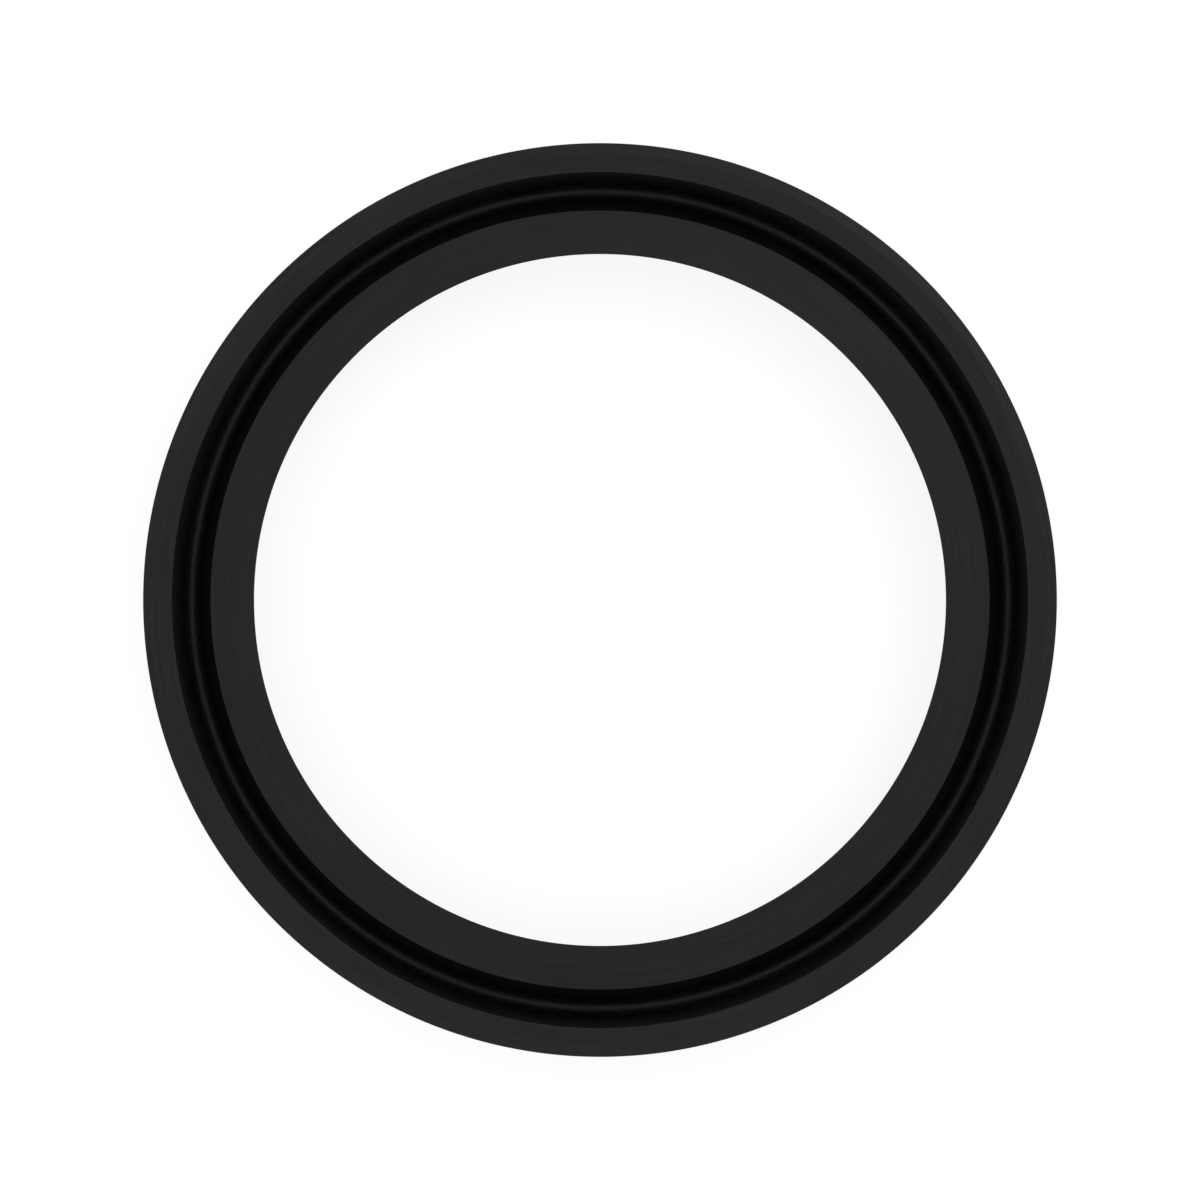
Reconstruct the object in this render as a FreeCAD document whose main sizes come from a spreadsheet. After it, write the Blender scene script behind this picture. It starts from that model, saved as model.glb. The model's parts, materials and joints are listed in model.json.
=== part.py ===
"""Piston rod seal: a one-piece rubber lip ring for a 40 mm rod in a 50 mm housing groove.

The ring lies on its heel, the flat back face, with its axis on Z and its two lips pointing up, towards the
pressure. The rod lip leans inwards and ends in a knife-trimmed edge. The housing lip leans outwards, stands
a little taller and ends in a flat land with a bevel. Between them is a narrow channel with a round bottom,
which lets the pressure push the lips apart. The lips are drawn free, as they are before the ring is fitted,
so they reach past the rod and past the bottom of the groove.

All sizes are in millimetres and degrees. The origin is the centre of the heel face.
"""

import FreeCAD
import Part
import Sketcher
from FreeCAD import Vector

import os

NODE = "rod_seal"
PARTS_FOLDER = "parts"

# Driving sizes, one cell of the sheet each
SIZES = {
    "rod_diameter": 40.0,
    "groove_section": 5.0,
    "seal_height": 7.3,
    "heel_rod_clearance": 0.1,
    "heel_housing_clearance": 0.1,
    "rod_lip_interference": 0.63,
    "rod_lip_width": 2.45,
    "rod_lip_setback": 0.5,
    "rod_lip_undercut": 8.0,
    "rod_hinge_height": 3.0,
    "rod_hinge_radius": 3.0,
    "housing_lip_interference": 0.6,
    "housing_lip_land": 1.03,
    "housing_lip_bevel": 0.59,
    "housing_lip_bevel_angle": 20.0,
    "housing_hinge_height": 2.6,
    "housing_hinge_radius": 3.0,
    "channel_depth": 3.6,
    "channel_radius": 0.5,
    "channel_offset": 0.05,
    "heel_rod_radius": 0.3,
    "heel_housing_chamfer": 0.5,
}

# Distances from the axis. The channel's bottom is a little nearer the rod than the middle of its mouth.
ROD = "sizes.rod_diameter / 2"
HOUSING = f"{ROD} + sizes.groove_section"
HEEL_BORE = f"{ROD} + sizes.heel_rod_clearance"
HEEL_RIM = f"{HOUSING} - sizes.heel_housing_clearance"
ROD_EDGE = f"{ROD} - sizes.rod_lip_interference"
HOUSING_EDGE = f"{HOUSING} + sizes.housing_lip_interference"
BEVEL_TOP = f"{HOUSING_EDGE} - sizes.housing_lip_bevel"
CHANNEL_OUTSIDE = f"{BEVEL_TOP} - sizes.housing_lip_land"
CHANNEL_INSIDE = f"{ROD_EDGE} + sizes.rod_lip_width"
CHANNEL_BOTTOM = f"({CHANNEL_INSIDE} + {CHANNEL_OUTSIDE}) / 2 - sizes.channel_offset"

# Heights above the heel face
HEEL = "0"
TOP = "sizes.seal_height"
BEVEL_FOOT = f"{TOP} - sizes.housing_lip_bevel * tan(sizes.housing_lip_bevel_angle * 1 deg)"
ROD_EDGE_HEIGHT = f"{TOP} - sizes.rod_lip_setback"
ROD_LIP_FOOT = f"{ROD_EDGE_HEIGHT} - sizes.rod_lip_width * tan(sizes.rod_lip_undercut * 1 deg)"
CHANNEL_CENTRE_HEIGHT = f"{TOP} - sizes.channel_depth + sizes.channel_radius"

# The section's corners in order round the rubber, each as its distance from the axis and its height
CORNERS = {
    "channel_inside": (CHANNEL_INSIDE, ROD_LIP_FOOT),
    "rod_edge": (ROD_EDGE, ROD_EDGE_HEIGHT),
    "rod_hinge": (HEEL_BORE, "sizes.rod_hinge_height"),
    "heel_bore": (HEEL_BORE, HEEL),
    "heel_rim": (HEEL_RIM, HEEL),
    "housing_hinge": (HEEL_RIM, "sizes.housing_hinge_height"),
    "housing_edge": (HOUSING_EDGE, BEVEL_FOOT),
    "bevel_top": (BEVEL_TOP, TOP),
    "channel_outside": (CHANNEL_OUTSIDE, TOP),
}

# The corners where a lip bends out of the heel along a wide curve
HINGES = ["rod_hinge", "housing_hinge"]

# The centre of the channel's round bottom, given as the corners are
CHANNEL_CENTRE = (CHANNEL_BOTTOM, CHANNEL_CENTRE_HEIGHT)

# The points of a line or an arc in a sketch, and the sketch's own origin
START, END, CENTRE = 1, 2, 3
ORIGIN = (-1, START)

# Two edges lie at one place if they are nearer than this
SAME_PLACE = 0.0001


def make_sheet(doc):
    """The sheet of driving sizes, each in a cell under its own alias."""
    sheet = doc.addObject("Spreadsheet::Sheet", "sizes")
    for row, (alias, value) in enumerate(SIZES.items(), start=1):
        sheet.set(f"A{row}", alias)
        sheet.set(f"B{row}", str(value))
        sheet.setAlias(f"B{row}", alias)
    doc.recompute()
    return sheet


def worked_out(sheet, place):
    """A place in the section as a vector, from its two expressions."""
    from_axis, height = place
    return Vector(sheet.evalExpression(from_axis), sheet.evalExpression(height), 0)


def bind(sketch, constraint, name, expression):
    """Add a constraint and tie its value to an expression of the sheet's cells."""
    index = sketch.addConstraint(constraint)
    sketch.renameConstraint(index, name)
    sketch.setExpression(f"Constraints.{name}", expression)


def bind_place(sketch, sheet, point, name, place):
    """Hold a point of the sketch at its distance from the axis and its height."""
    here = worked_out(sheet, place)
    from_axis, height = place
    bind(sketch, Sketcher.Constraint("DistanceX", *ORIGIN, *point, here.x), f"{name}_from_axis", from_axis)
    bind(sketch, Sketcher.Constraint("DistanceY", *ORIGIN, *point, here.y), f"{name}_height", height)


def bind_radius(sketch, curve, alias):
    """Tie the radius of an arc to a cell of the sheet."""
    bind(sketch, Sketcher.Constraint("Radius", curve, SIZES[alias]), alias, f"sizes.{alias}")


def draw_sides(sketch, sheet):
    """The straight sides from corner to corner, and the point of the sketch at each corner."""
    corners = [worked_out(sheet, place) for place in CORNERS.values()]
    lines = [Part.LineSegment(start, end) for start, end in zip(corners, corners[1:])]
    sides = [sketch.addGeometry(line, False) for line in lines]
    for side, following in zip(sides, sides[1:]):
        sketch.addConstraint(Sketcher.Constraint("Coincident", side, END, following, START))
    points = [(sides[0], START)] + [(side, END) for side in sides]
    return dict(zip(CORNERS, points))


def draw_channel(sketch, sheet, inside, outside):
    """The channel between two points of the sketch: two walls that run smoothly into a round bottom."""
    centre = worked_out(sheet, CHANNEL_CENTRE)
    across = Vector(SIZES["channel_radius"], 0, 0)
    down = Vector(0, SIZES["channel_radius"], 0)
    inner_line = Part.LineSegment(centre - across, sketch.getPoint(*inside))
    outer_line = Part.LineSegment(centre + across, sketch.getPoint(*outside))
    arc = Part.Arc(centre - across, centre - down, centre + across)
    inner_wall, outer_wall, bottom = sketch.addGeometry([inner_line, outer_line, arc], False)
    sketch.addConstraint(Sketcher.Constraint("Coincident", inner_wall, END, *inside))
    sketch.addConstraint(Sketcher.Constraint("Coincident", outer_wall, END, *outside))
    sketch.addConstraint(Sketcher.Constraint("Tangent", inner_wall, START, bottom, START))
    sketch.addConstraint(Sketcher.Constraint("Tangent", outer_wall, START, bottom, END))
    return bottom


def draw_section(body, sheet):
    """The ring's section as a closed outline beside the axis, with no free dimension."""
    plane = next(item for item in body.Origin.OriginFeatures if item.Role == "XZ_Plane")
    sketch = body.newObject("Sketcher::SketchObject", "section")
    sketch.AttachmentSupport = [(plane, "")]
    sketch.MapMode = "FlatFace"

    points = draw_sides(sketch, sheet)
    bottom = draw_channel(sketch, sheet, points["channel_inside"], points["channel_outside"])
    for name, place in CORNERS.items():
        bind_place(sketch, sheet, points[name], name, place)
    bind_place(sketch, sheet, (bottom, CENTRE), "channel_centre", CHANNEL_CENTRE)
    bind_radius(sketch, bottom, "channel_radius")

    # A hinge's sharp corner stays as a point of the sketch, and keeps its dimensions
    for name in HINGES:
        curve = sketch.GeometryCount
        sketch.fillet(*points[name], SIZES[f"{name}_radius"], True, True)
        bind_radius(sketch, curve, f"{name}_radius")

    if sketch.solve() != 0 or not sketch.FullyConstrained:
        raise RuntimeError("The section isn't fully held by its dimensions")
    return sketch


def ring_edge(feature, sheet, corner):
    """The name of the circular edge that a corner of the section sweeps out."""
    place = worked_out(sheet, CORNERS[corner])
    for number, edge in enumerate(feature.Shape.Edges, start=1):
        if not isinstance(edge.Curve, Part.Circle):
            continue
        swept = Vector(edge.Curve.Radius, edge.Curve.Center.z, 0)
        if swept.distanceToPoint(place) < SAME_PLACE:
            return f"Edge{number}"
    raise RuntimeError(f"No circular edge at the corner {corner}")


def soften(body, sheet, corner, kind, dimension, alias):
    """Round or chamfer the circular edge at this corner of the section."""
    base = body.Tip
    feature = body.newObject(kind, f"{corner}_edge")
    feature.Base = (base, [ring_edge(base, sheet, corner)])
    feature.setExpression(dimension, f"sizes.{alias}")
    body.Document.recompute()


def make_seal(doc, sheet):
    """The whole ring: its section turned about the axis, then the edges of its heel."""
    body = doc.addObject("PartDesign::Body", NODE)
    section = draw_section(body, sheet)
    doc.recompute()

    ring = body.newObject("PartDesign::Revolution", "ring")
    ring.Profile = section
    ring.ReferenceAxis = (section, ["V_Axis"])
    ring.Angle = 360
    doc.recompute()

    # The heel is rounded next to the rod, and cut back next to the housing to go in easily
    soften(body, sheet, "heel_bore", "PartDesign::Fillet", "Radius", "heel_rod_radius")
    soften(body, sheet, "heel_rim", "PartDesign::Chamfer", "Size", "heel_housing_chamfer")
    return body


def check(doc, body):
    """Stop if anything in the document failed, or if the ring isn't one sound solid."""
    for item in doc.Objects:
        if {"Invalid", "Error"} & set(item.State):
            raise RuntimeError(f"{item.Label} failed: {item.State}")
    if body.Shape.isNull() or not body.Shape.isValid():
        raise RuntimeError(f"{body.Label} has no valid shape")
    if len(body.Shape.Solids) != 1:
        raise RuntimeError(f"{body.Label} isn't one solid")


doc = FreeCAD.newDocument("piston_rod_seal")
sheet = make_sheet(doc)
seal = make_seal(doc, sheet)
check(doc, seal)

os.makedirs(PARTS_FOLDER, exist_ok=True)
seal.Shape.exportStep(f"{PARTS_FOLDER}/{seal.Label}.step")
box = seal.Shape.optimalBoundingBox()
print(f"{seal.Label}: {box.XLength:.2f} mm across, {box.ZLength:.2f} mm high, {seal.Shape.Volume:.0f} mm3")
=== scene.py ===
"""Piston rod seal: a ring of black rubber, lying on its heel on white ground, seen straight down its axis.

Lengths are in metres, in the part's own frame: the origin is the centre of the heel face, and the lips
point up. The ring is turned from a fine section whose corners are the solid's, with the small radii that
moulding and trimming leave on its edges.
"""

from collections import namedtuple
import json
import math

import bpy
from mathutils import Matrix, Vector


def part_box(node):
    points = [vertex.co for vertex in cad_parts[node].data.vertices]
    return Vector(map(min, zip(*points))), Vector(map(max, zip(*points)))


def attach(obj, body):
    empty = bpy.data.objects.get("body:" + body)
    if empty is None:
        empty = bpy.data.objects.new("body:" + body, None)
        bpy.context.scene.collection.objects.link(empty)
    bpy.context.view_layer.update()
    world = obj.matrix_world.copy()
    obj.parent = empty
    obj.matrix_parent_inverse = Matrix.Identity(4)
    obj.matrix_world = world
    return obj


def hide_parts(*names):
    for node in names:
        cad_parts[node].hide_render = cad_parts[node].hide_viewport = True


MM = 0.001

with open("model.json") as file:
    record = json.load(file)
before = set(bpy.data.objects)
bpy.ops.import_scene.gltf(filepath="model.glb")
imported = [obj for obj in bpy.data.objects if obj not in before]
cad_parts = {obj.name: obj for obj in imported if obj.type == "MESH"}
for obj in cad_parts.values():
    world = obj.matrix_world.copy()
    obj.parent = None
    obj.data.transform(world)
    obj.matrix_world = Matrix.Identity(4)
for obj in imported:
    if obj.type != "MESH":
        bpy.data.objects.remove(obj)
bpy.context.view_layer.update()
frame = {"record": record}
NODE = "rod_seal"
MOUNTS = {mount["name"]: mount for mount in frame["record"]["mounts"]}

# The section, from the frame where it says, and otherwise as the solid has it
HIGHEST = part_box(NODE)[1]
TOP = HIGHEST.z
HOUSING_EDGE = HIGHEST.x
HEEL_BORE = MOUNTS["rod_bore"]["dims"]["r_mm"] * MM
HEEL_RIM = MOUNTS["housing_rim"]["dims"]["r_mm"] * MM
ROD_EDGE = 19.37 * MM
ROD_LIP_WIDTH = 2.45 * MM
ROD_LIP_SETBACK = 0.5 * MM
ROD_LIP_UNDERCUT = math.radians(8)
ROD_HINGE_HEIGHT = 3.0 * MM
BEVEL_WIDTH = 0.59 * MM
BEVEL_ANGLE = math.radians(20)
LAND_WIDTH = 1.03 * MM
HOUSING_HINGE_HEIGHT = 2.6 * MM
HINGE_RADIUS = 3.0 * MM
CHANNEL_DEPTH = 3.6 * MM
CHANNEL_RADIUS = 0.5 * MM
CHANNEL_OFFSET = 0.05 * MM
HEEL_ROD_RADIUS = 0.3 * MM
HEEL_CHAMFER = 0.5 * MM

# What the knife and the mould leave on edges that the solid has sharp
TRIMMED_EDGE = 0.02 * MM
MOULDED_EDGE = 0.05 * MM

# How finely the ring is divided: round the axis, how far a facet may cut into an arc of the section, and
# how close to each arc a flat side has a row of its own, which keeps it flat when shaded smooth
SEGMENTS = 360
FACET_DEPTH = 0.0003 * MM
SUPPORT = 0.03 * MM

# The map that the ring's finish can be baked through: a tile for each quarter turn, two by two
MAP_NAME = "OFBake"
TILES_A_SIDE = 2
TILE_MARGIN = 0.01

# The rubber's tone and gloss, and how its tone varies with its pattern and in wide clouds
RUBBER_TONE = 0.004
RUBBER_SPECULAR = 0.212
PATTERN_CONTRAST = 0.6
CLOUD_SIZE = 4 * MM
CLOUD_DETAIL = 2
CLOUD_CONTRAST = 0.15

# The pattern of a moulded face, a grain
GRAIN_SIZE = 0.25 * MM
GRAIN_DETAIL = 3
GRAIN_HEIGHT = 0.02 * MM
GRAIN_ROUGHNESS = (0.36, 0.46)

# The pattern of a trimmed face, knife marks, and about how many of them follow each other once round
MARK_WIDTH = 0.12 * MM
MARKS_ROUND = 25
MARK_DETAIL = 2
MARK_HEIGHT = 0.008 * MM
MARK_ROUGHNESS = (0.42, 0.54)

# Where a noise's values mostly lie
NOISE_RANGE = (0.3, 0.7)

# The photograph's frame, and how wide the ring is in it
PHOTO_PIXELS = 1200
RING_PIXELS = 914
CAMERA_HEIGHT = 0.3

# Soft lamps round the ring: azimuth from the X axis and elevation, both in degrees, then width and height,
# and power in watts
Lamp = namedtuple("Lamp", "azimuth elevation width height energy")
LAMP_DISTANCE = 0.5
LAMPS = {
    "key": Lamp(50, 50, 0.25, 0.25, 0.25),
    "right_strip": Lamp(40, 5, 0.35, 0.08, 0.6),
    "back_strip": Lamp(145, 5, 0.35, 0.08, 0.6),
    "front_strip": Lamp(-97, 5, 0.35, 0.08, 0.6),
}

# The ground's share of light passed back to the object, and then as the camera and reflections see it, with
# a glow that leaves only a faint shadow
GROUND_PLAIN = 0.8
GROUND_SHADED = 0.32
GROUND_GLOW = 0.78

# The ground reaches far past the view, and lies a hair under the heel
GROUND_SIZE = 6.0
GROUND_DROP = 0.01 * MM

# A corner of the section: its place beside the axis, its radius, and the finish of the side that follows it
Corner = namedtuple("Corner", "place radius finish")
MOULDED, TRIMMED = 0, 1


def tangent_point(outside, centre, radius, turn):
    """Where a line from a point outside a circle touches it, on the side that the sign of turn says."""
    away = outside - centre
    angle = math.copysign(math.acos(radius / away.length), turn)
    return centre + Matrix.Rotation(angle, 2) @ away.normalized() * radius


def crossing(start_a, end_a, start_b, end_b):
    """Where two lines of the section cross."""
    along_a = end_a - start_a
    along_b = end_b - start_b
    share = (start_b - start_a).cross(along_b) / along_a.cross(along_b)
    return start_a + along_a * share


def section_corners():
    """The section's corners, in order round the rubber, from the heel outwards and up."""
    bevel_top = HOUSING_EDGE - BEVEL_WIDTH
    bevel_foot = TOP - BEVEL_WIDTH * math.tan(BEVEL_ANGLE)
    rod_edge_height = TOP - ROD_LIP_SETBACK
    channel_outside = Vector((bevel_top - LAND_WIDTH, TOP))
    channel_inside = Vector((
        ROD_EDGE + ROD_LIP_WIDTH,
        rod_edge_height - ROD_LIP_WIDTH * math.tan(ROD_LIP_UNDERCUT),
    ))

    # The channel's walls touch its round bottom, and would cross below it
    channel_centre = Vector((
        (channel_inside.x + channel_outside.x) / 2 - CHANNEL_OFFSET,
        TOP - CHANNEL_DEPTH + CHANNEL_RADIUS,
    ))
    outer_foot = tangent_point(channel_outside, channel_centre, CHANNEL_RADIUS, -1)
    inner_foot = tangent_point(channel_inside, channel_centre, CHANNEL_RADIUS, 1)
    channel_bottom = crossing(channel_outside, outer_foot, channel_inside, inner_foot)

    return [
        Corner(Vector((HEEL_RIM - HEEL_CHAMFER, 0)), MOULDED_EDGE, MOULDED),
        Corner(Vector((HEEL_RIM, HEEL_CHAMFER)), MOULDED_EDGE, MOULDED),
        Corner(Vector((HEEL_RIM, HOUSING_HINGE_HEIGHT)), HINGE_RADIUS, MOULDED),
        Corner(Vector((HOUSING_EDGE, bevel_foot)), TRIMMED_EDGE, TRIMMED),
        Corner(Vector((bevel_top, TOP)), TRIMMED_EDGE, TRIMMED),
        Corner(channel_outside, MOULDED_EDGE, MOULDED),
        Corner(channel_bottom, CHANNEL_RADIUS, MOULDED),
        Corner(channel_inside, TRIMMED_EDGE, TRIMMED),
        Corner(Vector((ROD_EDGE, rod_edge_height)), TRIMMED_EDGE, MOULDED),
        Corner(Vector((HEEL_BORE, ROD_HINGE_HEIGHT)), HINGE_RADIUS, MOULDED),
        Corner(Vector((HEEL_BORE, 0)), HEEL_ROD_RADIUS, MOULDED),
    ]


def rounded(before, corner, after):
    """The points of a rounded corner: its arc, and a point on the flat side at each end of it."""
    back = (before.place - corner.place).normalized()
    onward = (after.place - corner.place).normalized()
    half_angle = back.angle(onward) / 2
    reach = corner.radius / math.tan(half_angle)
    centre = corner.place + (back + onward).normalized() * corner.radius / math.sin(half_angle)
    first = corner.place + back * reach - centre
    last = corner.place + onward * reach - centre
    facet_angle = 2 * math.acos(1 - FACET_DEPTH / corner.radius)
    facets = math.ceil(first.angle(last) / facet_angle)
    arc = [
        centre + first.slerp(last, facet / facets) * corner.radius
        for facet in range(facets + 1)
    ]
    return [arc[0] + back * SUPPORT, *arc, arc[-1] + onward * SUPPORT]


def section_outline():
    """The section's points in order, each with the finish of the side that follows it."""
    corners = section_corners()
    outline = []
    for number, corner in enumerate(corners):
        following = corners[(number + 1) % len(corners)]
        points = rounded(corners[number - 1], corner, following)
        outline += [(point, corner.finish) for point in points]
    return outline


def turned(outline):
    """A mesh of the outline turned once about the axis, shaded smooth, each side with its own finish."""
    count = len(outline)
    angles = [math.tau * segment / SEGMENTS for segment in range(SEGMENTS)]
    places = [
        (point.x * math.cos(angle), point.x * math.sin(angle), point.y)
        for angle in angles
        for point, finish in outline
    ]
    faces = []
    for segment in range(SEGMENTS):
        here = segment * count
        beyond = (segment + 1) % SEGMENTS * count
        for side in range(count):
            following = (side + 1) % count
            faces.append((here + side, beyond + side, beyond + following, here + following))
    mesh = bpy.data.meshes.new(NODE)
    mesh.from_pydata(places, [], faces)
    mesh.shade_smooth()
    finishes = [finish for point, finish in outline]
    mesh.polygons.foreach_set("material_index", finishes * SEGMENTS)
    return mesh


def lay_out_map(mesh, outline):
    """A flat map of the turned mesh: round the axis in one direction, along the section in the other."""
    points = [point for point, finish in outline]
    lengths = [(end - start).length for start, end in zip(points, points[1:] + points[:1])]
    along = [sum(lengths[:side]) / sum(lengths) for side in range(len(points) + 1)]
    segments_a_tile = SEGMENTS // TILES_A_SIDE**2

    def on_tile(tile, across, up):
        column = tile % TILES_A_SIDE
        row = tile // TILES_A_SIDE
        scale = 1 - 2 * TILE_MARGIN
        return (
            (column + TILE_MARGIN + scale * across) / TILES_A_SIDE,
            (row + TILE_MARGIN + scale * up) / TILES_A_SIDE,
        )

    places = []
    for segment in range(SEGMENTS):
        tile, step = divmod(segment, segments_a_tile)
        here = step / segments_a_tile
        beyond = (step + 1) / segments_a_tile
        for side in range(len(points)):
            places += on_tile(tile, here, along[side])
            places += on_tile(tile, beyond, along[side])
            places += on_tile(tile, beyond, along[side + 1])
            places += on_tile(tile, here, along[side + 1])
    mesh.uv_layers.new(name=MAP_NAME).data.foreach_set("uv", places)


def add_node(material, kind, inputs=None, **settings):
    """A new node of a material, with its settings, and its inputs set or linked by name."""
    node = material.node_tree.nodes.new(kind)
    for name, value in settings.items():
        setattr(node, name, value)
    for name, value in (inputs or {}).items():
        if isinstance(value, bpy.types.NodeSocket):
            material.node_tree.links.new(value, node.inputs[name])
        else:
            node.inputs[name].default_value = value
    return node


def grey(tone):
    """An opaque grey of this tone."""
    return (tone, tone, tone, 1)


def new_material(name):
    """An empty node material with its output."""
    material = bpy.data.materials.new(name)
    material.use_nodes = True
    material.node_tree.nodes.clear()
    return material, add_node(material, "ShaderNodeOutputMaterial")


def noise(material, place, size, detail):
    """A noise whose grains are about this large, at places in metres."""
    texture = add_node(material, "ShaderNodeTexNoise", {
        "Vector": place,
        "Scale": 1 / size,
        "Detail": detail,
    })
    return texture.outputs["Fac"]


def spread(material, value, low, high):
    """A noise value spread out from its usual range to one from low to high."""
    return add_node(material, "ShaderNodeMapRange", {
        "Value": value,
        "From Min": NOISE_RANGE[0],
        "From Max": NOISE_RANGE[1],
        "To Min": low,
        "To Max": high,
    }).outputs["Result"]


def moulded_grain(material, place):
    """The fine, even grain that the mould leaves."""
    return noise(material, place, GRAIN_SIZE, GRAIN_DETAIL)


def knife_marks(material, place):
    """The fine lines round the axis that a knife leaves on a ring that turns: narrow across, long round."""
    # Across the lines, the noise is read at the distance from the axis
    outwards = add_node(material, "ShaderNodeVectorMath", {
        0: place,
        1: (1, 1, 0),
    }, operation="MULTIPLY").outputs["Vector"]
    from_axis = add_node(material, "ShaderNodeVectorMath", {0: outwards}, operation="LENGTH")
    across = add_node(material, "ShaderNodeCombineXYZ", {"Z": from_axis.outputs["Value"]})

    # Each line follows a small circle in the noise, as long round as so many marks are wide
    direction = add_node(material, "ShaderNodeVectorMath", {0: outwards}, operation="NORMALIZE")
    along = add_node(material, "ShaderNodeVectorMath", {
        0: direction.outputs["Vector"],
        "Scale": MARK_WIDTH * MARKS_ROUND / math.tau,
    }, operation="SCALE").outputs["Vector"]
    laid = add_node(material, "ShaderNodeVectorMath", {
        0: along,
        1: across.outputs["Vector"],
    }, operation="ADD").outputs["Vector"]
    return noise(material, laid, MARK_WIDTH, MARK_DETAIL)


def make_rubber(name, relief, height, roughness):
    """Black rubber: a cloudy tone with its relief's own pattern in it, a satin gloss, and the relief."""
    material, output = new_material(name)
    place = add_node(material, "ShaderNodeTexCoord").outputs["Object"]
    pattern = relief(material, place)
    clouds = noise(material, place, CLOUD_SIZE, CLOUD_DETAIL)
    tone = add_node(material, "ShaderNodeMath", {
        0: spread(material, pattern, 1 - PATTERN_CONTRAST, 1 + PATTERN_CONTRAST),
        1: spread(material, clouds, RUBBER_TONE * (1 - CLOUD_CONTRAST), RUBBER_TONE * (1 + CLOUD_CONTRAST)),
    }, operation="MULTIPLY").outputs["Value"]
    bump = add_node(material, "ShaderNodeBump", {
        "Height": pattern,
        "Distance": height,
    }).outputs["Normal"]
    shader = add_node(material, "ShaderNodeBsdfPrincipled", {
        "Base Color": tone,
        "Roughness": spread(material, pattern, *roughness),
        "Specular IOR Level": RUBBER_SPECULAR,
        "Normal": bump,
    })
    material.node_tree.links.new(shader.outputs["BSDF"], output.inputs["Surface"])
    return material


def make_ring():
    """The seal as one piece with its two finishes, which stands for the solid."""
    outline = section_outline()
    mesh = turned(outline)
    lay_out_map(mesh, outline)
    mesh.materials.append(make_rubber("moulded_rubber", moulded_grain, GRAIN_HEIGHT, GRAIN_ROUGHNESS))
    mesh.materials.append(make_rubber("trimmed_rubber", knife_marks, MARK_HEIGHT, MARK_ROUGHNESS))
    ring = bpy.data.objects.new("rod_seal_ring", mesh)
    bpy.context.scene.collection.objects.link(ring)
    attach(ring, "root")
    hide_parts(NODE)


def make_white():
    """The ground's finish: plain where it lights the object, and white where it is seen."""
    material, output = new_material("white_ground")
    path = add_node(material, "ShaderNodeLightPath")
    in_view_or_gloss = add_node(material, "ShaderNodeMath", {
        0: path.outputs["Is Camera Ray"],
        1: path.outputs["Is Glossy Ray"],
    }, operation="MAXIMUM").outputs["Value"]
    seen = add_node(material, "ShaderNodeMath", {
        0: in_view_or_gloss,
        1: path.outputs["Is Transmission Ray"],
    }, operation="MAXIMUM").outputs["Value"]
    plain = add_node(material, "ShaderNodeBsdfDiffuse", {"Color": grey(GROUND_PLAIN)})
    shaded = add_node(material, "ShaderNodeBsdfDiffuse", {"Color": grey(GROUND_SHADED)})
    glow = add_node(material, "ShaderNodeEmission", {"Color": grey(GROUND_GLOW)})
    white = add_node(material, "ShaderNodeAddShader", {
        0: shaded.outputs["BSDF"],
        1: glow.outputs["Emission"],
    })
    mixed = add_node(material, "ShaderNodeMixShader", {
        0: seen,
        1: plain.outputs["BSDF"],
        2: white.outputs["Shader"],
    })
    material.node_tree.links.new(mixed.outputs["Shader"], output.inputs["Surface"])
    return material


def make_ground():
    """A white sheet under the ring."""
    half = GROUND_SIZE / 2
    corners = [(-half, -half), (half, -half), (half, half), (-half, half)]
    mesh = bpy.data.meshes.new("ground")
    mesh.from_pydata([(x, y, -GROUND_DROP) for x, y in corners], [], [range(len(corners))])
    mesh.materials.append(make_white())
    ground = bpy.data.objects.new("ground", mesh)
    bpy.context.scene.collection.objects.link(ground)


def make_lamp(name, lamp):
    """A soft lamp that looks at the ring, with its width level."""
    light = bpy.data.lights.new(name, "AREA")
    light.shape = "RECTANGLE"
    light.size = lamp.width
    light.size_y = lamp.height
    light.energy = lamp.energy
    lamp_object = bpy.data.objects.new(name, light)
    azimuth = math.radians(lamp.azimuth)
    elevation = math.radians(lamp.elevation)
    towards = Vector((
        math.cos(elevation) * math.cos(azimuth),
        math.cos(elevation) * math.sin(azimuth),
        math.sin(elevation),
    ))
    lamp_object.location = towards * LAMP_DISTANCE
    lamp_object.rotation_euler = towards.to_track_quat("Z", "Y").to_euler()
    bpy.context.scene.collection.objects.link(lamp_object)


def make_light():
    """Plain white light from all round, and the soft lamps."""
    world = bpy.data.worlds.new("studio")
    world.use_nodes = True
    background = world.node_tree.nodes["Background"]
    background.inputs["Color"].default_value = grey(1)
    background.inputs["Strength"].default_value = 1
    bpy.context.scene.world = world

    for name, lamp in LAMPS.items():
        make_lamp(name, lamp)


def make_camera():
    """A camera with no perspective, straight over the ring."""
    camera = bpy.data.cameras.new("camera")
    camera.type = "ORTHO"
    camera.ortho_scale = 2 * HOUSING_EDGE * PHOTO_PIXELS / RING_PIXELS
    seen_from = bpy.data.objects.new("camera", camera)
    seen_from.location.z = CAMERA_HEIGHT
    bpy.context.scene.collection.objects.link(seen_from)
    bpy.context.scene.camera = seen_from


make_ring()
make_ground()
make_light()
make_camera()
bpy.context.scene.view_settings.view_transform = "Standard"
